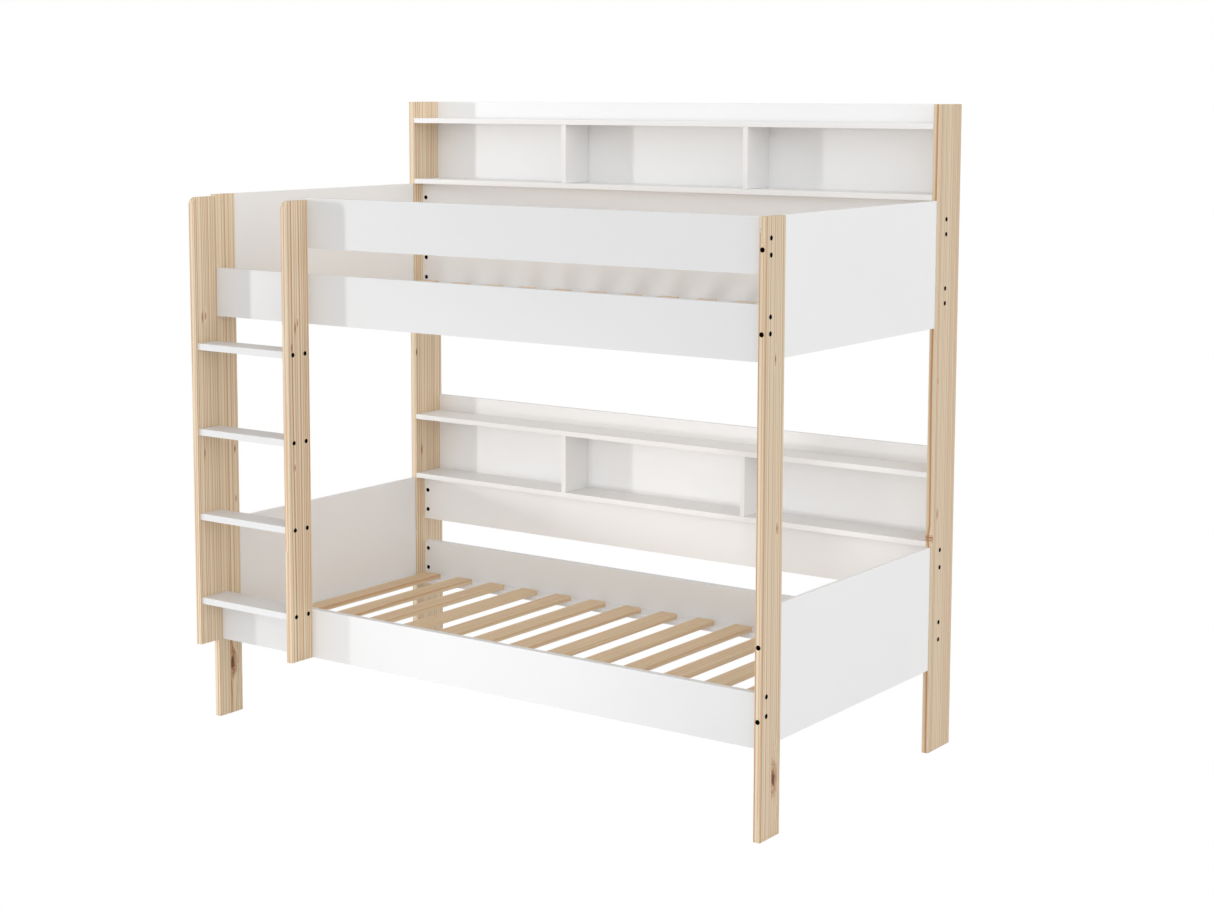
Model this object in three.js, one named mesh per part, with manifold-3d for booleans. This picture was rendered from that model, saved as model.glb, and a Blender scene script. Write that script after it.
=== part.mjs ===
// Bunk bed with a ladder at its left front and a shelf unit behind each bunk.
// Millimetres. +X runs along the bed, +Y towards its back, +Z up.
// The origin is on the floor, under the middle of the whole bed, ladder included.
import * as THREE from 'three';
import { mergeVertices } from 'three/addons/utils/BufferGeometryUtils.js';
import Module from 'manifold-3d';

const wasm = await Module();
wasm.setup();

// ---- driving dimensions ----------------------------------------------------------------------
const GAP = 0.3; // clearance between pieces that touch
const LENGTH = 2060; // over the outer faces of the posts
const BED_DEPTH = 1140; // front edge of the front posts to back edge of the back posts
const PLANK = 21; // thickness of posts, stiles, rungs, rails and guards

const FRONT_POST = { depth: 102, height: 1696 };
const BACK_POST = { depth: 144, height: 1983 };

const STOREY = 1053; // lower bunk to upper bunk
const RAIL_HEIGHT = 154;
const LOWER_RAIL_Z = 255; // underside of the lower bunk's rails
const GUARD_LIFT = 234; // underside of a rail to underside of the board above it
const FRONT_RAIL_SETBACK = 17; // front edge of the front posts to the front rails
const BACK_RAIL_SETBACK = 45.5; // front edge of the back posts to the back rails

const STILE_DEPTH = 96;
const STILE_TOP = 1690;
const STILE_CORNER = 25; // radius of a stile's top front corner
const LADDER_CLEAR_WIDTH = 374.5; // between the stiles
const RUNG_SETBACK = 7; // front edge of the stiles to the rungs
const FIRST_RUNG_TOP = 408.5;
const RUNG_PITCH = 273.3;
const RUNG_COUNT = 4;

const END_PANEL = { thickness: 12, height: 383 };
const SHELF = { thickness: 17, pitch: 212.7 };
const BACK_BOARD = { thickness: 12, height: 286.7 };
const DIVIDER_OFFSET = 355.5; // middle of the bed to the middle of a divider

const LEDGE = { width: 62, thickness: 17, lift: 14.5 }; // on a rail's inner face, above its underside
const SLAT = { width: 65, thickness: 16, pitch: 144.6, endGap: 36 };
const SLATS_PER_BUNK = 14;

const BORE = { diameter: 12.5, depth: 6, sides: 20 }; // recess for a bolt or screw head
const NUT_BORE = { diameter: 13, depth: 16, inset: 15 }; // barrel nut, inset from the rail's end
const RUNG_SCREWS = { front: 23.3, back: 77.5 }; // from the front edge of a stile
const PANEL_BOLTS = { // above the underside of each bunk's end panels
  lower: [75, 280],
  upper: [71.5, 295.5],
};
const RAIL_BOLTS = { // above the underside of each bunk's rails and guards, at each end of the bed
  left: {
    lower: { rail: [55, 125], guard: [34, 104] },
    upper: { rail: [55, 125], guard: [34, 104] },
  },
  right: {
    lower: { rail: [92, 146], guard: [84, 138] },
    upper: { rail: [77, 122], guard: [52, 97] },
  },
};

// ---- places worked out from the dimensions ---------------------------------------------------
const LADDER_REACH = STILE_DEPTH - FRONT_RAIL_SETBACK + GAP;
const FRONT = LADDER_REACH - (BED_DEPTH + LADDER_REACH) / 2; // front edge of the front posts
const BACK = FRONT + BED_DEPTH; // back edge of the back posts
const LADDER_FRONT = FRONT - LADDER_REACH;
const OUTER_X = LENGTH / 2;
const INNER_X = OUTER_X - PLANK; // inner faces of the posts
const FRONT_RAIL_Y = FRONT + FRONT_RAIL_SETBACK; // front faces of the front rails
const BACK_POST_Y = BACK - BACK_POST.depth; // front edge of the back posts
const BACK_RAIL_Y = BACK_POST_Y + BACK_RAIL_SETBACK; // front faces of the back rails
const STILE_BACK = FRONT_RAIL_Y - GAP;
const RIGHT_STILE_X = -INNER_X + LADDER_CLEAR_WIDTH; // left face of the right stile

const BUNKS = [
  { name: 'lower', z: LOWER_RAIL_Z },
  { name: 'upper', z: LOWER_RAIL_Z + STOREY },
];
const [LOWER, UPPER] = BUNKS;
const SIDES = [
  { name: 'left', sign: -1 },
  { name: 'right', sign: 1 },
];
const [LEFT, RIGHT] = SIDES;

// ---- materials -------------------------------------------------------------------------------
const FINISHES = {
  pine: { color: 0xcdb899, roughness: 0.55 },
  white: { color: 0xe6e5e2, roughness: 0.35 },
};

// ---- solids ----------------------------------------------------------------------------------
function toSolid(geometry) {
  const bare = geometry.clone();
  bare.deleteAttribute('normal');
  bare.deleteAttribute('uv');
  const merged = mergeVertices(bare, 1e-4);
  return new wasm.Manifold(new wasm.Mesh({
    numProp: 3,
    vertProperties: new Float32Array(merged.attributes.position.array),
    triVerts: new Uint32Array(merged.index.array),
  }));
}

function toGeometry(solid) {
  const { vertProperties, triVerts } = solid.getMesh();
  const geometry = new THREE.BufferGeometry();
  geometry.setAttribute('position', new THREE.BufferAttribute(vertProperties, 3));
  geometry.setIndex(new THREE.BufferAttribute(triVerts, 1));
  geometry.computeVertexNormals();
  return geometry;
}

// A box between two corners.
function box([x0, x1], [y0, y1], [z0, z1]) {
  const geometry = new THREE.BoxGeometry(x1 - x0, y1 - y0, z1 - z0);
  return geometry.translate((x0 + x1) / 2, (y0 + y1) / 2, (z0 + z1) / 2);
}

// A plank of the posts' thickness from an outline in the Y-Z plane, its left face at x.
function profilePlank(x, outline) {
  const extrusion = { depth: PLANK, bevelEnabled: false, curveSegments: 8 };
  const geometry = new THREE.ExtrudeGeometry(outline, extrusion);
  // the outline's own X and Y become the bed's Y and Z
  const axes = new THREE.Matrix4().makeBasis(
    new THREE.Vector3(0, 1, 0), new THREE.Vector3(0, 0, 1), new THREE.Vector3(1, 0, 0));
  return geometry.applyMatrix4(axes).translate(x, 0, 0);
}

// A blind bore that enters a face at the point `at` and runs along `direction`.
function bore(at, direction, { diameter, depth }) {
  const overshoot = 2;
  const length = depth + overshoot;
  const geometry = new THREE.CylinderGeometry(diameter / 2, diameter / 2, length, BORE.sides);
  const turn = new THREE.Quaternion().setFromUnitVectors(new THREE.Vector3(0, 1, 0), direction);
  const middle = at.clone().addScaledVector(direction, length / 2 - overshoot);
  return geometry.applyQuaternion(turn).translate(middle.x, middle.y, middle.z);
}

function drill(geometry, bores) {
  return toGeometry(bores.reduce((solid, b) => solid.subtract(toSolid(b)), toSolid(geometry)));
}

function join(geometries) {
  return toGeometry(geometries.map(toSolid).reduce((whole, solid) => whole.add(solid)));
}

// ---- the assembly ----------------------------------------------------------------------------
const bed = new THREE.Group();
bed.name = 'bunk_bed';

// Adds one named piece. The geometry is kept about the piece's own middle.
function add(name, finish, geometry) {
  geometry.computeBoundingBox();
  const middle = geometry.boundingBox.getCenter(new THREE.Vector3());
  geometry.translate(-middle.x, -middle.y, -middle.z);
  const material = new THREE.MeshStandardMaterial({ ...FINISHES[finish], metalness: 0 });
  const mesh = new THREE.Mesh(geometry, material);
  mesh.name = name;
  mesh.position.copy(middle);
  bed.add(mesh);
}

const ALONG_X = new THREE.Vector3(1, 0, 0);
const ALONG_Y = new THREE.Vector3(0, 1, 0);
const FULL_LENGTH = [-INNER_X + GAP, INNER_X - GAP];

// The boards that run the length of the bed: a rail on each bunk and a guard above it.
function rail(bunk) {
  return { z: bunk.z, bunk: bunk.name, kind: 'rail' };
}

function guard(bunk) {
  return { z: bunk.z + GUARD_LIFT, bunk: bunk.name, kind: 'guard' };
}

// Heights of the two bolts at one end of a rail or guard.
function boltHeights(side, board) {
  return RAIL_BOLTS[side.name][board.bunk][board.kind].map((offset) => board.z + offset);
}

// Recesses for the bolts that go through a post into the ends of its rails.
function railBoltRecesses(side, boardMiddleY, boards) {
  const inwards = ALONG_X.clone().multiplyScalar(-side.sign);
  const faceX = side.sign * OUTER_X;
  const heights = boards.flatMap((board) => boltHeights(side, board));
  return heights.map((z) => bore(new THREE.Vector3(faceX, boardMiddleY, z), inwards, BORE));
}

// Recesses for the bolts that go through a post's width into the end panels.
function panelBoltRecesses(side, faceY, direction) {
  const x = side.sign * (OUTER_X - PLANK / 2);
  const inwards = ALONG_Y.clone().multiplyScalar(direction);
  const heights = BUNKS.flatMap((bunk) => (
    PANEL_BOLTS[bunk.name].map((offset) => endPanelZ(bunk) + offset)));
  return heights.map((z) => bore(new THREE.Vector3(x, faceY, z), inwards, BORE));
}

function endPanelZ(bunk) {
  return bunk.z + GUARD_LIFT + RAIL_HEIGHT - END_PANEL.height;
}

// The left front post is cut back above its shoulder, so that the ladder's stile stands in it.
function frontPostOutline(side) {
  const back = FRONT + FRONT_POST.depth;
  const outline = new THREE.Shape();
  outline.moveTo(FRONT, 0);
  outline.lineTo(back, 0);
  outline.lineTo(back, FRONT_POST.height);
  if (side === LEFT) {
    outline.lineTo(FRONT_RAIL_Y, FRONT_POST.height);
    outline.lineTo(FRONT_RAIL_Y, LOWER_RAIL_Z - GAP);
    outline.lineTo(FRONT, LOWER_RAIL_Z - GAP);
  } else {
    outline.lineTo(FRONT, FRONT_POST.height);
  }
  return outline;
}

function addFrontPost(side) {
  const plankX = side === LEFT ? -OUTER_X : INNER_X;
  const edgeY = side === LEFT ? FRONT_RAIL_Y : FRONT;
  const boards = [rail(LOWER), rail(UPPER)];
  if (side === RIGHT) {
    boards.push(guard(UPPER));
  }
  add(`front_post_${side.name}`, 'pine', drill(profilePlank(plankX, frontPostOutline(side)), [
    ...railBoltRecesses(side, FRONT_RAIL_Y + PLANK / 2, boards),
    ...panelBoltRecesses(side, edgeY, 1),
  ]));
}

function addBackPost(side) {
  const plankX = side === LEFT ? -OUTER_X : INNER_X;
  const post = box([plankX, plankX + PLANK], [BACK_POST_Y, BACK], [0, BACK_POST.height]);
  const boards = [rail(LOWER), guard(LOWER), rail(UPPER), guard(UPPER)];
  add(`back_post_${side.name}`, 'pine', drill(post, [
    ...railBoltRecesses(side, BACK_RAIL_Y + PLANK / 2, boards),
    ...panelBoltRecesses(side, BACK, -1),
  ]));
}

// Bores for the barrel nuts, in the face of a rail or guard that is turned to the mattress.
function nutBores(board, [x0, x1], y, inside, boltedSides) {
  const nutY = inside < 0 ? y : y + PLANK;
  const into = ALONG_Y.clone().multiplyScalar(-inside);
  return boltedSides.flatMap((side) => boltHeights(side, board).map((height) => {
    const nutX = (side === LEFT ? x0 : x1) - side.sign * NUT_BORE.inset;
    return bore(new THREE.Vector3(nutX, nutY, height), into, NUT_BORE);
  }));
}

// A board on edge. `inside` is the way from it to the mattress: 1 for a front board, -1 for a back one.
function addGuard(name, bunk, x, y, inside, boltedSides) {
  const board = guard(bunk);
  const plank = box(x, [y, y + PLANK], [board.z, board.z + RAIL_HEIGHT]);
  add(name, 'white', drill(plank, nutBores(board, x, y, inside, boltedSides)));
}

// A rail is a board on edge, with the ledge that the slats lie on glued along its inner face.
function addRail(name, bunk, y, inside) {
  const board = rail(bunk);
  const plank = box(FULL_LENGTH, [y, y + PLANK], [board.z, board.z + RAIL_HEIGHT]);
  const ledgeY = inside < 0 ? [y - LEDGE.width, y] : [y + PLANK, y + PLANK + LEDGE.width];
  const ledgeZ = board.z + LEDGE.lift;
  const ledge = box(FULL_LENGTH, ledgeY, [ledgeZ, ledgeZ + LEDGE.thickness]);
  const bores = nutBores(board, FULL_LENGTH, y, inside, SIDES);
  add(name, 'white', drill(join([plank, ledge]), bores));
}

function addRails() {
  for (const bunk of BUNKS) {
    addRail(`${bunk.name}_front_rail`, bunk, FRONT_RAIL_Y, 1);
    addRail(`${bunk.name}_back_rail`, bunk, BACK_RAIL_Y, -1);
    addGuard(`${bunk.name}_back_guard`, bunk, FULL_LENGTH, BACK_RAIL_Y, -1, SIDES);
  }
  const behindLadder = [RIGHT_STILE_X, INNER_X - GAP];
  addGuard('upper_front_guard', UPPER, behindLadder, FRONT_RAIL_Y, 1, [RIGHT]);
}

function addEndPanels() {
  const y = [FRONT + FRONT_POST.depth + GAP, BACK_POST_Y - GAP];
  for (const bunk of BUNKS) {
    const z0 = endPanelZ(bunk);
    for (const side of SIDES) {
      const middle = side.sign * (OUTER_X - PLANK / 2);
      const x = [middle - END_PANEL.thickness / 2, middle + END_PANEL.thickness / 2];
      add(`${bunk.name}_end_panel_${side.name}`, 'white', box(x, y, [z0, z0 + END_PANEL.height]));
    }
  }
}

// Two shelves, two dividers between them and a back board, above each bunk's back guard.
function addShelfUnits() {
  const depth = [BACK_POST_Y, BACK - BACK_BOARD.thickness - GAP];
  for (const bunk of BUNKS) {
    const z0 = bunk.z + GUARD_LIFT + RAIL_HEIGHT + GAP;
    const dividerZ = [z0 + SHELF.thickness + GAP, z0 + SHELF.pitch - GAP];
    ['low', 'high'].forEach((level, i) => {
      const z = z0 + i * SHELF.pitch;
      add(`${bunk.name}_shelf_${level}`, 'white', box(FULL_LENGTH, depth, [z, z + SHELF.thickness]));
    });
    for (const side of SIDES) {
      const middle = side.sign * DIVIDER_OFFSET;
      const x = [middle - SHELF.thickness / 2, middle + SHELF.thickness / 2];
      add(`${bunk.name}_divider_${side.name}`, 'white', box(x, depth, dividerZ));
    }
    const board = box(FULL_LENGTH, [BACK - BACK_BOARD.thickness, BACK], [z0, z0 + BACK_BOARD.height]);
    add(`${bunk.name}_back_board`, 'white', board);
  }
}

// The slats lie on the ledges of each bunk's two rails, evenly on both sides of the bed's middle.
function addSlats() {
  const y = [FRONT_RAIL_Y + PLANK + SLAT.endGap, BACK_RAIL_Y - SLAT.endGap];
  const firstX = -SLAT.pitch * (SLATS_PER_BUNK - 1) / 2;
  for (const bunk of BUNKS) {
    const z0 = bunk.z + LEDGE.lift + LEDGE.thickness + GAP;
    for (let index = 0; index < SLATS_PER_BUNK; index += 1) {
      const middle = firstX + index * SLAT.pitch;
      const x = [middle - SLAT.width / 2, middle + SLAT.width / 2];
      const name = `${bunk.name}_slat_${String(index + 1).padStart(2, '0')}`;
      add(name, 'pine', box(x, y, [z0, z0 + SLAT.thickness]));
    }
  }
}

function stileOutline() {
  const cornerY = LADDER_FRONT + STILE_CORNER;
  const cornerZ = STILE_TOP - STILE_CORNER;
  const outline = new THREE.Shape();
  outline.moveTo(LADDER_FRONT, LOWER_RAIL_Z);
  outline.lineTo(STILE_BACK, LOWER_RAIL_Z);
  outline.lineTo(STILE_BACK, STILE_TOP);
  outline.lineTo(cornerY, STILE_TOP);
  outline.absarc(cornerY, cornerZ, STILE_CORNER, Math.PI / 2, Math.PI, false);
  return outline;
}

function addLadder() {
  const firstZ = FIRST_RUNG_TOP - PLANK;
  const rungZ = Array.from({ length: RUNG_COUNT }, (_, i) => firstZ + i * RUNG_PITCH);
  const screwY = [LADDER_FRONT + RUNG_SCREWS.front, LADDER_FRONT + RUNG_SCREWS.back];
  for (const side of SIDES) {
    const plankX = side === LEFT ? -OUTER_X : RIGHT_STILE_X;
    const faceX = side === LEFT ? plankX : plankX + PLANK;
    const inwards = ALONG_X.clone().multiplyScalar(-side.sign);
    const recesses = rungZ.flatMap((z) => screwY.map((y) => (
      bore(new THREE.Vector3(faceX, y, z + PLANK / 2), inwards, BORE))));
    add(`ladder_stile_${side.name}`, 'pine', drill(profilePlank(plankX, stileOutline()), recesses));
  }
  const x = [-INNER_X + GAP, RIGHT_STILE_X - GAP];
  const y = [LADDER_FRONT + RUNG_SETBACK, STILE_BACK];
  rungZ.forEach((z, i) => add(`rung_${i + 1}`, 'white', box(x, y, [z, z + PLANK])));
}

SIDES.forEach(addFrontPost);
SIDES.forEach(addBackPost);
addRails();
addEndPanels();
addShelfUnits();
addSlats();
addLadder();

export default bed;
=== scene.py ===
import math

import bmesh
import bpy
from mathutils import Matrix, Vector


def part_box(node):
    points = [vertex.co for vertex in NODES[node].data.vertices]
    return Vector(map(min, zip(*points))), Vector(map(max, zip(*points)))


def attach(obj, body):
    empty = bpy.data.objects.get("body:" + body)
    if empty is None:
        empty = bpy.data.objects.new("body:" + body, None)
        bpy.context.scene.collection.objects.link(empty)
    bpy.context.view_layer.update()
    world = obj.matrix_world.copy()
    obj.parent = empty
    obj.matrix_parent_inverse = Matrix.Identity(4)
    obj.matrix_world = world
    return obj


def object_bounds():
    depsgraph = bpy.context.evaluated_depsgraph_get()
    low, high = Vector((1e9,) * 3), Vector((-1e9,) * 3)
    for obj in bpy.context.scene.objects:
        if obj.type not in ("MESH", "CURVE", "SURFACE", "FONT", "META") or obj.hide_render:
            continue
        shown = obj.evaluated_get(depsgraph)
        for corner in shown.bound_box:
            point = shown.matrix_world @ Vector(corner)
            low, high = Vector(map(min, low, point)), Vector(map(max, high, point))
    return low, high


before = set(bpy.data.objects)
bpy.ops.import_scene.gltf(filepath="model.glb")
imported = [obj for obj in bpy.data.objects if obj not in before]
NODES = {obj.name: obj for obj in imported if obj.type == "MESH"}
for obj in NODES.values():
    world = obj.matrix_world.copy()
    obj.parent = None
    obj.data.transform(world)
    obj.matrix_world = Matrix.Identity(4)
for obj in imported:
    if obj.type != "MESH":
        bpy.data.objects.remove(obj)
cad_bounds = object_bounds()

MM = 0.001
BODY = "root"

# ---- camera ----------------------------------------------------------------------------------
CAMERA_AT = Vector((3.9636, -5.4409, 2.0291))
CAMERA_YAW = 0.6322  # to the left of straight ahead, in radians
CAMERA_PITCH = 0.1137  # below the horizon
SENSOR_WIDTH = 36  # in millimetres, as the lens
CAMERA_LENS = 64.56
CAMERA_SHIFT = (0.0373, -0.0974)

# ---- light -----------------------------------------------------------------------------------
# Each lobe of the studio's light: the direction it comes from, how narrow it is, its strength.
STUDIO_LOBES = (
    ((0.0, -0.99, 0.14), 8.0, 1.38),  # in front
    ((0.58, -0.80, 0.15), 8.0, 0.78),  # round the camera
    ((0.98, -0.10, 0.17), 6.0, 1.92),  # right
    ((-1.0, 0.0, 0.0), 2.0, 0.45),  # left
    ((0.0, 1.0, 0.1), 2.0, 0.62),  # behind
    ((0.0, -0.1, 1.0), 2.0, 0.94),  # above
)
KEY_POWER = 345
SKIRTING_POWER = 1.85
FLOOR_SIZE = 60
FLOOR_GREY = 0.8
FLOOR_DROP = 0.5 * MM  # of the floor below the feet

# ---- colours, as linear RGB ------------------------------------------------------------------
PINE_PALE = (0.82, 0.712, 0.535)
PINE_BODY = (0.70, 0.585, 0.42)
PINE_LATEWOOD = (0.53, 0.24, 0.085)
SLAT_PINE = (0.79, 0.615, 0.405)
KNOT_HALO = (0.38, 0.145, 0.045)
KNOT_CORE = (0.13, 0.042, 0.03)
STILE_KNOT_CORE = (0.30, 0.11, 0.045)
WHITE_LACQUER = (0.775, 0.776, 0.779)
# A lighter copy of the same lacquer for the back rails and guards: painted light, standing in for the
# light that reaches the inside of the bed.
WHITE_LACQUER_PAINTED_LIGHT = (0.91, 0.91, 0.912)
WHITE_LAMINATE = (0.92, 0.92, 0.922)
CLOUDED = 0.985  # brightness of a white board's clouded places, beside the rest of it
BLACK_STEEL = (0.002, 0.002, 0.002)
WORN_STEEL = (0.006, 0.006, 0.007)

# ---- pine ------------------------------------------------------------------------------------
# Each upright: the width of its glued strips, its tone, and its knots. The higher tones of the
# left-hand uprights are painted light: they stand in for light that the pieces beside them keep
# off their faces. A knot has its height above the upright's foot, its place behind the front edge,
# its length and its width.
UPRIGHTS = {
    "front_post_right": (0.059, 0.985, (
        (0.164, 0.066, 0.112, 0.050), (1.315, 0.056, 0.040, 0.008), (0.855, 0.074, 0.034, 0.009))),
    "front_post_left": (0.052, 1.10, (
        (0.166, 0.058, 0.106, 0.048), (0.869, 0.086, 0.030, 0.008), (0.707, 0.087, 0.026, 0.007))),
    "back_post_right": (0.048, 0.985, (
        (0.742, 0.032, 0.036, 0.010), (0.670, 0.003, 0.030, 0.009), (1.150, 0.020, 0.026, 0.006))),
    "back_post_left": (0.048, 1.11, (
        (0.741, 0.031, 0.040, 0.010), (1.096, 0.006, 0.034, 0.009), (1.580, 0.110, 0.030, 0.008))),
    "ladder_stile_left": (0.048, 1.05, (
        (1.055, 0.031, 0.040, 0.009), (1.057, 0.045, 0.030, 0.007), (0.619, 0.031, 0.030, 0.007))),
    "ladder_stile_right": (0.048, 1.01, (
        (1.046, 0.035, 0.040, 0.009), (1.060, 0.046, 0.030, 0.007), (0.985, 0.018, 0.028, 0.007),
        (0.612, 0.026, 0.028, 0.007))),
}
UPRIGHT_SEEDS = (5.0, 11.7)  # of the grain: the first upright's, and the step to the next
SLAT_SEEDS = (200.0, 5.3)
SLAT_STRIP = 1.0  # wider than a slat, so that a slat is one strip
SLAT_CONTRAST = 0.6

# ---- eased edges -----------------------------------------------------------------------------
UPRIGHT_EDGE = 1.0 * MM
SLAT_EDGE = 1.6 * MM
LACQUER_EDGE = 1.0 * MM
LAMINATE_EDGE = 0.8 * MM

# ---- fasteners -------------------------------------------------------------------------------
PLANK = 21.0 * MM  # thickness of the rails and guards
CLEARANCE = 0.1 * MM  # round a fastener in its bore
LIFT = 0.03 * MM  # of a flange or rim above the wood
BORE_DIAMETER = 12.5 * MM  # for a bolt or screw
BORE_DEPTH = 6.0 * MM
HEAD_GAP = 0.3 * MM  # between the end of a head and the bottom of its bore
HEAD_RISE = 0.45 * MM  # top of a head above the wood
FLANGE_DIAMETER = 14.0 * MM  # covers the edge of the bore
FLANGE_CHAMFER = (0.4 * MM, 0.2 * MM)  # inwards and down
SOCKET_RADIUS = 2.6 * MM  # from the middle of the hexagon socket to a corner
SOCKET_DEPTH = 2.4 * MM
SOCKET_CHAMFER = 0.3 * MM
NUT_BORE_DIAMETER = 13.0 * MM
NUT_INSET = 15.0 * MM  # from the end of a board to the middle of its nut
NUT_LENGTH = 11.0 * MM  # below the floor of its slot
NUT_RISE = 0.35 * MM
NUT_RIM_DIAMETER = 14.5 * MM
NUT_CHAMFER = (0.3 * MM, 0.15 * MM)
NUT_SPLIT = 0.02 * MM  # between a nut's body and the half discs on it
SLOT_WIDTH = 1.8 * MM
SLOT_FLOOR = -1.6 * MM  # from the face of the wood
FASTENER_TURN = 0.7  # from one fastener to the next, in radians, so that they don't line up
SIDES = 24  # of a round part

# Heights of the bolts above the undersides of the rails, guards and end panels.
LEFT_BOLTS = {"rail": (55 * MM, 125 * MM), "guard": (34 * MM, 104 * MM)}
RIGHT_BOLTS = {
    "lower": {"rail": (92 * MM, 146 * MM), "guard": (84 * MM, 138 * MM)},
    "upper": {"rail": (77 * MM, 122 * MM), "guard": (52 * MM, 97 * MM)},
}
PANEL_BOLTS = {"lower": (75 * MM, 280 * MM), "upper": (71.5 * MM, 295.5 * MM)}
RUNG_SCREWS = (23.3 * MM, 77.5 * MM)  # behind the front edge of a stile
RUNG_COUNT = 4
OUTWARDS = {"left": (-1, 0, 0), "right": (1, 0, 0), "front": (0, -1, 0), "back": (0, 1, 0)}


# ---- node helpers ----------------------------------------------------------------------------
class Graph:
    """Short ways to build the nodes of a material or of the world."""

    def __init__(self, owner, shader="Principled BSDF"):
        owner.use_nodes = True
        self.owner = owner
        self.tree = owner.node_tree
        self.shader = self.tree.nodes[shader]

    def node(self, kind, **settings):
        made = self.tree.nodes.new(kind)
        for key, value in settings.items():
            setattr(made, key, value)
        return made

    def put(self, socket, value):
        """Links a socket, or sets a plain value, on an input."""
        if isinstance(value, bpy.types.NodeSocket):
            self.tree.links.new(value, socket)
        else:
            socket.default_value = value

    def fill(self, made, values):
        """Puts values on a node's first inputs."""
        for socket, value in zip(made.inputs, values):
            self.put(socket, value)
        return made

    def math(self, operation, *values):
        return self.fill(self.node("ShaderNodeMath", operation=operation), values).outputs[0]

    def plus(self, a, b):
        return self.math("ADD", a, b)

    def times(self, a, b):
        return self.math("MULTIPLY", a, b)

    def between(self, value, low, high):
        """Spreads a value of 0 to 1 over the range from low to high."""
        return self.math("MULTIPLY_ADD", value, high - low, low)

    def length(self, a, b):
        """Length of a vector with two parts."""
        return self.math("SQRT", self.plus(self.times(a, a), self.times(b, b)))

    def vector(self, operation, *values):
        made = self.fill(self.node("ShaderNodeVectorMath", operation=operation), values)
        return made.outputs["Value" if operation == "DOT_PRODUCT" else "Vector"]

    def place(self):
        """Where a point lies, in its piece's own coordinates."""
        return self.node("ShaderNodeTexCoord").outputs["Object"]

    def split(self, vector):
        return self.fill(self.node("ShaderNodeSeparateXYZ"), (vector,)).outputs

    def combine(self, x, y, z):
        return self.fill(self.node("ShaderNodeCombineXYZ"), (x, y, z)).outputs[0]

    def noise(self, at, scale=1.0, detail=2.0, roughness=0.5):
        made = self.node("ShaderNodeTexNoise")
        inputs = {"Vector": at, "Scale": scale, "Detail": detail, "Roughness": roughness}
        for name, value in inputs.items():
            self.put(made.inputs[name], value)
        return made.outputs[0]

    def white(self, value):
        """A number from 0 to 1 that differs for each value."""
        made = self.node("ShaderNodeTexWhiteNoise", noise_dimensions="1D")
        self.put(made.inputs["W"], value)
        return made.outputs["Value"]

    def smooth(self, value, low, high, to_low=0.0, to_high=1.0):
        made = self.node("ShaderNodeMapRange", interpolation_type="SMOOTHSTEP")
        return self.fill(made, (value, low, high, to_low, to_high)).outputs[0]

    def mix(self, factor, a, b):
        made = self.node("ShaderNodeMix", data_type="RGBA")
        self.put(made.inputs[0], factor)
        for socket, value in ((made.inputs[6], a), (made.inputs[7], b)):
            self.put(socket, (*value, 1.0) if isinstance(value, tuple) else value)
        return made.outputs[2]

    def surface(self, colour, roughness):
        self.put(self.shader.inputs["Base Color"], colour)
        self.put(self.shader.inputs["Roughness"], roughness)

    def bump(self, height, strength, distance):
        made = self.node("ShaderNodeBump")
        self.put(made.inputs["Height"], height)
        self.put(made.inputs["Strength"], strength)
        self.put(made.inputs["Distance"], distance)
        self.put(self.shader.inputs["Normal"], made.outputs[0])


def new_material(name):
    return Graph(bpy.data.materials.new(name))


# ---- pine ------------------------------------------------------------------------------------
class Plank:
    """Where a point lies in a plank: along its grain, across its width and through it, in metres
    from its low corner. `axes` names the three directions, and `strip` the glued strips' width."""

    def __init__(self, g, corner, axes, seed, strip):
        parts = g.split(g.vector("SUBTRACT", g.place(), tuple(corner)))
        self.along, self.across, self.through = (parts["XYZ".index(axis)] for axis in axes)
        self.strip = strip
        self.index = g.math("FLOOR", g.math("DIVIDE", self.across, strip))
        self.pick = g.math("MULTIPLY_ADD", self.index, 7.31, seed)  # another seed for each strip

    def chance(self, g, offset):
        """A number from 0 to 1 that differs from strip to strip."""
        return g.white(g.plus(self.pick, offset))


def ring_radius(g, plank):
    """Distance from the heart of the tree, which lies outside the plank's low corner, in another
    place for each strip."""
    heart_across = g.between(plank.chance(g, 0.1), -0.03, -0.12)
    heart_through = g.between(plank.chance(g, 0.2), -0.03, -0.07)
    drift = g.noise(g.combine(g.times(plank.along, 0.7), plank.pick, 0.0), 1.0, 1.0)
    bend = g.between(drift, -0.006, 0.006)
    from_heart = g.math("SUBTRACT", g.math("SUBTRACT", plank.across, heart_across), bend)
    radius = g.length(from_heart, g.math("SUBTRACT", plank.through, heart_through))
    wave_at = g.combine(g.times(plank.along, 2.0), g.times(plank.across, 20.0), plank.pick)
    return g.plus(radius, g.between(g.noise(wave_at), -0.0008, 0.0008))


def add_knots(g, plank, knots, radius):
    """Bends the rings round each knot. Returns the radius of the bent rings, and how deep in a
    knot a point is, from 0 outside to 1 at its middle."""
    depth = 0.0
    for at_along, at_across, length, width in knots:
        a = g.math("DIVIDE", g.math("SUBTRACT", plank.along, at_along), length / 2)
        b = g.math("DIVIDE", g.math("SUBTRACT", plank.across, at_across), width / 2)
        ragged_at = g.combine(g.times(plank.along, 45.0), g.times(plank.across, 150.0), at_along)
        ragged = g.between(g.noise(ragged_at, 1.0, 3.0), -0.45, 0.45)
        reach = g.plus(g.length(a, b), ragged)
        own_strip = g.math("COMPARE", plank.index, math.floor(at_across / plank.strip + 1e-6), 0.5)
        near = g.times(g.smooth(reach, 0.3, 3.2, 1.0, 0.0), own_strip)
        side = g.math("DIVIDE", b, g.math("SQRT", g.math("MULTIPLY_ADD", b, b, 0.5)))
        radius = g.plus(radius, g.times(g.times(near, side), -0.32 * width))
        inside = g.times(g.smooth(reach, 0.15, 1.25, 1.0, 0.0), own_strip)
        depth = g.math("MAXIMUM", depth, inside)
    return radius, depth


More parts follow.
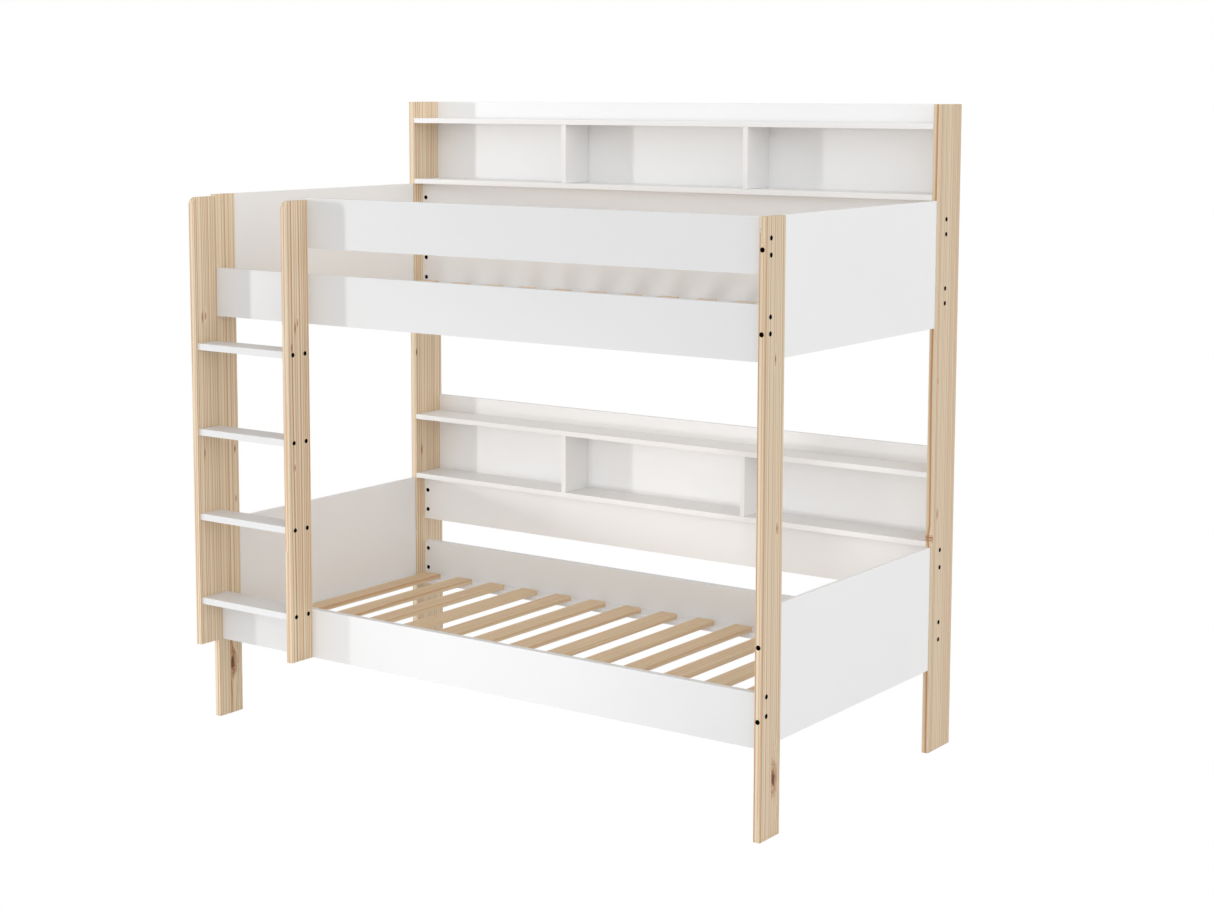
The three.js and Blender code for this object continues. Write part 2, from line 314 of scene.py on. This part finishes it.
def latewood(g, plank, radius, contrast):
    """How strongly a point shows the dark part of a growth ring. It differs from ring to ring."""
    spacing = g.between(plank.chance(g, 0.3), 0.007, 0.010)
    uneven = g.noise(g.combine(g.times(radius, 48.0), plank.pick, 0.0), 1.0, 1.0)
    rings = g.math("MULTIPLY_ADD", uneven, 1.7, g.math("DIVIDE", radius, spacing))
    phase = g.math("FRACT", rings)
    ring_pick = g.white(g.plus(g.math("FLOOR", rings), plank.pick))
    late = g.times(g.smooth(phase, 0.48, 0.80), g.smooth(phase, 0.90, 1.0, 1.0, 0.0))
    return g.times(late, g.between(ring_pick, 0.30 * contrast, 1.05 * contrast))


def colour_knots(g, colour, knot, core):
    """A brown halo with curls in it round each knot, and the knot's core."""
    curl = g.smooth(g.math("FRACT", g.times(knot, 3.3)), 0.2, 0.9, 0.25, 1.0)
    halo = g.times(g.smooth(knot, 0.04, 0.40, 0.0, 0.95), curl)
    colour = g.mix(halo, colour, KNOT_HALO)
    return g.mix(g.smooth(knot, 0.85, 0.97, 0.0, 0.96), colour, core)


def pine(name, plank_settings, pale, body, contrast, knots=(), core=KNOT_CORE):
    """Planed, matt pine with streaks in two tones, pale and body, which may be the same. The
    settings are the corner, axes, seed and strip of its Plank. A knot is (along, across, length,
    width)."""
    g = new_material(name)
    plank = Plank(g, *plank_settings)
    radius, knot = add_knots(g, plank, knots, ring_radius(g, plank))
    late = latewood(g, plank, radius, contrast)

    fibre_at = g.combine(
        g.times(plank.along, 6.0), g.times(plank.across, 800.0), g.times(plank.through, 800.0))
    fibre = g.noise(fibre_at, 1.0, 3.0, 0.6)
    streak_through = g.math("MULTIPLY_ADD", plank.through, 190.0, plank.pick)
    streak_at = g.combine(g.times(plank.along, 0.5), g.times(plank.across, 190.0), streak_through)
    streak = g.smooth(g.noise(streak_at), 0.34, 0.68)

    colour = g.mix(streak, pale, body)
    colour = g.mix(g.times(plank.chance(g, 0.4), 0.35), colour, body)
    colour = g.mix(late, colour, PINE_LATEWOOD)
    colour = g.mix(g.times(g.smooth(fibre, 0.4, 0.75), 0.14), colour, PINE_LATEWOOD)
    if knots:
        colour = colour_knots(g, colour, knot, core)
    g.surface(colour, g.between(fibre, 0.44, 0.60))
    g.bump(g.math("MULTIPLY_ADD", late, 0.6, fibre), 0.35, 0.15 * MM)
    return g.owner


# ---- white board and black steel -------------------------------------------------------------
def clouded(g, place, scale, tone):
    """A white with faint, wide clouds."""
    shade = tuple(channel * CLOUDED for channel in tone)
    return g.mix(g.smooth(g.noise(place, scale), 0.3, 0.7), tone, shade)


def white_lacquer(name, tone):
    """Sprayed satin lacquer on solid wood: orange peel over a trace of the grain along X."""
    g = new_material(name)
    place = g.place()
    peel = g.noise(place, 240.0)
    grain = g.noise(g.vector("MULTIPLY", place, (1.5, 90.0, 90.0)), 1.0, 3.0, 0.6)
    g.surface(clouded(g, place, 2.3, tone), g.between(peel, 0.37, 0.43))
    g.bump(g.math("MULTIPLY_ADD", grain, 1.4, peel), 0.06, 0.10 * MM)
    return g.owner


def white_laminate():
    """Smooth melamine faced board, with the fine pebble of its press plate."""
    g = new_material("white_laminate")
    place = g.place()
    pebble = g.noise(place, 420.0, 2.0, 0.6)
    g.surface(clouded(g, place, 1.7, WHITE_LAMINATE), g.between(pebble, 0.42, 0.48))
    g.bump(pebble, 0.05, 0.08 * MM)
    return g.owner


def black_steel():
    """Black oxide with fine worn specks."""
    g = new_material("black_steel")
    speck = g.noise(g.place(), 900.0, 3.0)
    colour = g.mix(g.smooth(speck, 0.6, 0.8), BLACK_STEEL, WORN_STEEL)
    g.surface(colour, g.between(speck, 0.42, 0.62))
    g.put(g.shader.inputs["Specular IOR Level"], 0.012)
    g.bump(speck, 0.2, 0.05 * MM)
    return g.owner


# ---- finishes for the CAD pieces -------------------------------------------------------------
def finish_node(name, material, edge):
    """Gives a CAD piece its material and eased edges. Its triangles are welded, and merged where
    they lie flat, so that only real edges are eased."""
    piece = NODES[name]
    piece.material_slots[0].link = "OBJECT"
    piece.material_slots[0].material = material
    piece.modifiers.new("weld", "WELD").merge_threshold = 0.01 * MM
    flat = piece.modifiers.new("merge_flat_faces", "DECIMATE")
    flat.decimate_type = "DISSOLVE"
    flat.angle_limit = math.radians(0.5)
    ease = piece.modifiers.new("eased_edges", "BEVEL")
    ease.width = edge
    ease.segments = 3
    ease.limit_method = "ANGLE"
    ease.angle_limit = math.radians(40)


def finish_uprights():
    first_seed, seed_step = UPRIGHT_SEEDS
    for index, (name, (strip, tone, knots)) in enumerate(UPRIGHTS.items()):
        settings = (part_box(name)[0], "ZYX", first_seed + index * seed_step, strip)
        # A tone above 1 lightens an upright; on the left-hand uprights this lightening is painted light.
        pale, body = (tuple(tone * channel for channel in wood) for wood in (PINE_PALE, PINE_BODY))
        core = STILE_KNOT_CORE if "stile" in name else KNOT_CORE
        material = pine("pine_" + name, settings, pale, body, 1.0, knots, core)
        finish_node(name, material, UPRIGHT_EDGE)


def finish_slats():
    first_seed, seed_step = SLAT_SEEDS
    names = sorted(name for name in NODES if "_slat_" in name)
    for index, name in enumerate(names):
        settings = (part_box(name)[0], "YXZ", first_seed + index * seed_step, SLAT_STRIP)
        finish_node(name, pine("pine_" + name, settings, SLAT_PINE, SLAT_PINE, SLAT_CONTRAST), SLAT_EDGE)


def finish_white():
    lacquer = white_lacquer("white_lacquer", WHITE_LACQUER)
    painted_light_lacquer = white_lacquer("white_lacquer_painted_light", WHITE_LACQUER_PAINTED_LIGHT)
    laminate = white_laminate()
    for name in sorted(NODES):
        # The back rails and guards take the lighter copy of the lacquer, which is painted light.
        if name.endswith(("_back_rail", "_back_guard")):
            finish_node(name, painted_light_lacquer, LACQUER_EDGE)
        elif name.startswith("rung") or name.endswith(("_rail", "_guard")):
            finish_node(name, lacquer, LACQUER_EDGE)
        elif any(word in name for word in ("panel", "shelf", "divider", "board")):
            finish_node(name, laminate, LAMINATE_EDGE)


# ---- fasteners -------------------------------------------------------------------------------
def on_circle(radius, angle, z):
    return Vector((radius * math.cos(angle), radius * math.sin(angle), z))


def circle(radius, z):
    turn = 2 * math.pi / SIDES
    return [on_circle(radius, i * turn, z) for i in range(SIDES)]


def hexagon(radius, z):
    """A hexagon with as many points as a circle has, so that the two can be bridged."""
    corners = [on_circle(radius, k * math.pi / 3, z) for k in range(7)]
    steps = SIDES // 6
    return [corners[i // steps].lerp(corners[i // steps + 1], i % steps / steps) for i in range(SIDES)]


def half_disc(radius, slot, z):
    """Half of a round face, cut off by a slot of that width."""
    start = math.asin(slot / 2 / radius)
    span = math.pi - 2 * start
    points = SIDES // 2
    return [on_circle(radius, start + span * i / points, z) for i in range(points + 1)]


def loft(mesh, rings, matrix):
    """A closed skin through rings of points, from one capped end to the other."""
    loops = [[mesh.verts.new(matrix @ point) for point in ring] for ring in rings]
    for below, above in zip(loops, loops[1:]):
        for i in range(len(below)):
            j = (i + 1) % len(below)
            mesh.faces.new((below[i], below[j], above[j], above[i]))
    mesh.faces.new(reversed(loops[0]))
    mesh.faces.new(loops[-1])


def bolt_head(mesh, matrix):
    """The flanged head of a bolt or screw with a hexagon socket, seen from +Z."""
    shank = BORE_DIAMETER / 2 - CLEARANCE
    flange = FLANGE_DIAMETER / 2
    inset, drop = FLANGE_CHAMFER
    loft(mesh, (
        circle(shank, HEAD_GAP - BORE_DEPTH),
        circle(shank, 0.0),
        circle(flange, LIFT),
        circle(flange, HEAD_RISE - drop),
        circle(flange - inset, HEAD_RISE),
        hexagon(SOCKET_RADIUS + SOCKET_CHAMFER, HEAD_RISE),
        hexagon(SOCKET_RADIUS, HEAD_RISE - SOCKET_CHAMFER),
        hexagon(SOCKET_RADIUS, HEAD_RISE - SOCKET_DEPTH),
    ), matrix)


def barrel_nut(mesh, matrix):
    """The end of a barrel nut: a round body, and on it two rimmed half discs with a slot between."""
    body = NUT_BORE_DIAMETER / 2 - CLEARANCE
    rim = NUT_RIM_DIAMETER / 2
    inset, drop = NUT_CHAMFER
    loft(mesh, (circle(body, SLOT_FLOOR - NUT_LENGTH), circle(body, SLOT_FLOOR)), matrix)
    for side in (Matrix.Identity(4), Matrix.Rotation(math.pi, 4, "Z")):
        loft(mesh, (
            half_disc(body, SLOT_WIDTH, SLOT_FLOOR + NUT_SPLIT),
            half_disc(body, SLOT_WIDTH, 0.0),
            half_disc(rim, SLOT_WIDTH, LIFT),
            half_disc(rim, SLOT_WIDTH, NUT_RISE - drop),
            half_disc(rim - inset, SLOT_WIDTH + inset, NUT_RISE),
        ), matrix @ side)


def add_fasteners(name, build, places, outwards, steel):
    """One piece that holds a fastener at each place, all facing one way."""
    mesh = bmesh.new()
    facing = Vector(outwards).to_track_quat("Z", "Y").to_matrix().to_4x4()
    for index, place in enumerate(places):
        turn = Matrix.Rotation(index * FASTENER_TURN, 4, "Z")
        build(mesh, Matrix.Translation(place) @ facing @ turn)
    data = bpy.data.meshes.new(name)
    mesh.to_mesh(data)
    mesh.free()
    data.materials.append(steel)
    piece = bpy.data.objects.new(name, data)
    bpy.context.collection.objects.link(piece)
    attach(piece, BODY)


def end_x(name, side):
    """Where a piece ends towards that side of the bed."""
    low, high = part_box(name)
    return low.x if side == "left" else high.x


def bolt_heights(board, side):
    """Heights of the bolts in one end of a rail or guard."""
    bunk, _, kind = board.split("_")
    offsets = LEFT_BOLTS[kind] if side == "left" else RIGHT_BOLTS[bunk][kind]
    return [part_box(board)[0].z + offset for offset in offsets]


def post_boards(row, side):
    """The rails and guards that are bolted to one post."""
    boards = ["lower_%s_rail" % row, "upper_%s_rail" % row]
    if row == "back":
        boards += ["lower_back_guard", "upper_back_guard"]
    elif side == "right":
        boards.append("upper_front_guard")
    return boards


def add_post_bolts(steel):
    """Bolts through the posts' faces into the ends of the rails and guards, which stand in one
    plane in each row."""
    for row in ("front", "back"):
        board_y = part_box("upper_%s_guard" % row)[0].y + PLANK / 2
        for side in ("left", "right"):
            post = "%s_post_%s" % (row, side)
            heights = [z for board in post_boards(row, side) for z in bolt_heights(board, side)]
            places = [(end_x(post, side), board_y, z) for z in heights]
            add_fasteners("rail_bolts_" + post, bolt_head, places, OUTWARDS[side], steel)


def add_panel_bolts(steel):
    """Bolts through the posts' edges into the ends of the end panels. The left front post's edge
    lies behind the ladder, in line with the rails' front face."""
    for side in ("left", "right"):
        boxes = {bunk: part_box("%s_end_panel_%s" % (bunk, side)) for bunk in PANEL_BOLTS}
        heights = [boxes[bunk][0].z + offset for bunk in PANEL_BOLTS for offset in PANEL_BOLTS[bunk]]
        middle_x = (boxes["lower"][0].x + boxes["lower"][1].x) / 2
        front_edge = "lower_front_rail" if side == "left" else "front_post_right"
        faces = {"front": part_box(front_edge)[0].y, "back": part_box("back_post_" + side)[1].y}
        for row, y in faces.items():
            places = [(middle_x, y, z) for z in heights]
            add_fasteners("panel_bolts_%s_%s" % (row, side), bolt_head, places, OUTWARDS[row], steel)


def add_nuts(steel):
    """Barrel nuts in the inner faces of the rails and guards, one for each of their bolts."""
    boards = [name for name in sorted(NODES) if name.endswith(("_rail", "_guard"))]
    for board in boards:
        low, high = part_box(board)
        front = "_front_" in board
        inner_y = low.y + PLANK if front else high.y - PLANK
        sides = ("right",) if board == "upper_front_guard" else ("left", "right")
        places = []
        for side in sides:
            x = end_x(board, side) - OUTWARDS[side][0] * NUT_INSET
            places += [(x, inner_y, z) for z in bolt_heights(board, side)]
        add_fasteners("nuts_" + board, barrel_nut, places, OUTWARDS["back" if front else "front"], steel)


def add_rung_screws(steel):
    """Screws through the ladder's stiles into the ends of its rungs."""
    rungs = [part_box("rung_%d" % number) for number in range(1, RUNG_COUNT + 1)]
    heights = [(low.z + high.z) / 2 for low, high in rungs]
    for side in ("left", "right"):
        stile = "ladder_stile_" + side
        front_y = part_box(stile)[0].y
        places = [(end_x(stile, side), front_y + y, z) for z in heights for y in RUNG_SCREWS]
        add_fasteners("rung_screws_" + side, bolt_head, places, OUTWARDS[side], steel)


def add_hardware():
    steel = black_steel()
    add_post_bolts(steel)
    add_panel_bolts(steel)
    add_nuts(steel)
    add_rung_screws(steel)


# ---- stage -----------------------------------------------------------------------------------
def glow_for_camera(g, output):
    """Shows plain white to camera rays in place of the shader, so that the backdrop has no seam."""
    ray = g.node("ShaderNodeLightPath").outputs["Is Camera Ray"]
    white = g.node("ShaderNodeEmission").outputs[0]
    mix = g.fill(g.node("ShaderNodeMixShader"), (ray, g.shader.outputs[0], white))
    g.put(g.tree.nodes[output].inputs["Surface"], mix.outputs[0])


def make_floor():
    low, _ = cad_bounds
    bpy.ops.mesh.primitive_plane_add(size=FLOOR_SIZE, location=(0, 0, low.z - FLOOR_DROP))
    floor = bpy.context.object
    floor.name = "floor"
    g = new_material("floor")
    g.surface((FLOOR_GREY, FLOOR_GREY, FLOOR_GREY, 1), roughness=0.9)
    glow_for_camera(g, "Material Output")
    floor.data.materials.append(g.owner)


def make_studio():
    """Soft light from all round, stronger where a studio's large panels stand."""
    world = bpy.data.worlds.new("studio")
    bpy.context.scene.world = world
    g = Graph(world, "Background")
    direction = g.node("ShaderNodeTexCoord").outputs["Generated"]
    total = 0.0
    for towards, narrowness, strength in STUDIO_LOBES:
        facing = g.vector("DOT_PRODUCT", direction, Vector(towards).normalized())
        lobe = g.math("POWER", g.math("MAXIMUM", facing, 0.0), narrowness)
        total = g.plus(total, g.times(lobe, strength))
    g.put(g.shader.inputs["Color"], total)
    glow_for_camera(g, "World Output")


def area_light(name, at, target, size, power, spread=math.pi):
    data = bpy.data.lights.new(name, "AREA")
    data.shape = "RECTANGLE"
    data.size, data.size_y = size
    data.energy = power
    data.spread = spread
    light = bpy.data.objects.new(name, data)
    light.location = at
    light.rotation_mode = "QUATERNION"
    light.rotation_quaternion = (Vector(target) - Vector(at)).to_track_quat("-Z", "Y")
    bpy.context.collection.objects.link(light)


def make_lights():
    """The studio, a distant key light on the left, and a small light low in front of the bed."""
    make_studio()
    area_light("key", at=(-10.4, -6.7, 1.9), target=(0, -0.2, 1.2), size=(0.5, 1.4), power=KEY_POWER)
    area_light("skirting", at=(-0.5, -3.4, 0.3), target=(0, -0.51, 0.33), size=(1.2, 0.3),
               power=SKIRTING_POWER, spread=math.radians(48))


def make_camera():
    data = bpy.data.cameras.new("camera")
    data.lens = CAMERA_LENS
    data.sensor_width = SENSOR_WIDTH
    data.shift_x, data.shift_y = CAMERA_SHIFT
    data.clip_start, data.clip_end = 0.1, 200
    camera = bpy.data.objects.new("camera", data)
    camera.location = CAMERA_AT
    camera.rotation_euler = (math.pi / 2 - CAMERA_PITCH, 0, CAMERA_YAW)
    bpy.context.collection.objects.link(camera)
    bpy.context.scene.camera = camera


finish_uprights()
finish_slats()
finish_white()
add_hardware()
make_floor()
make_lights()
make_camera()
bpy.context.scene.view_settings.view_transform = "Standard"
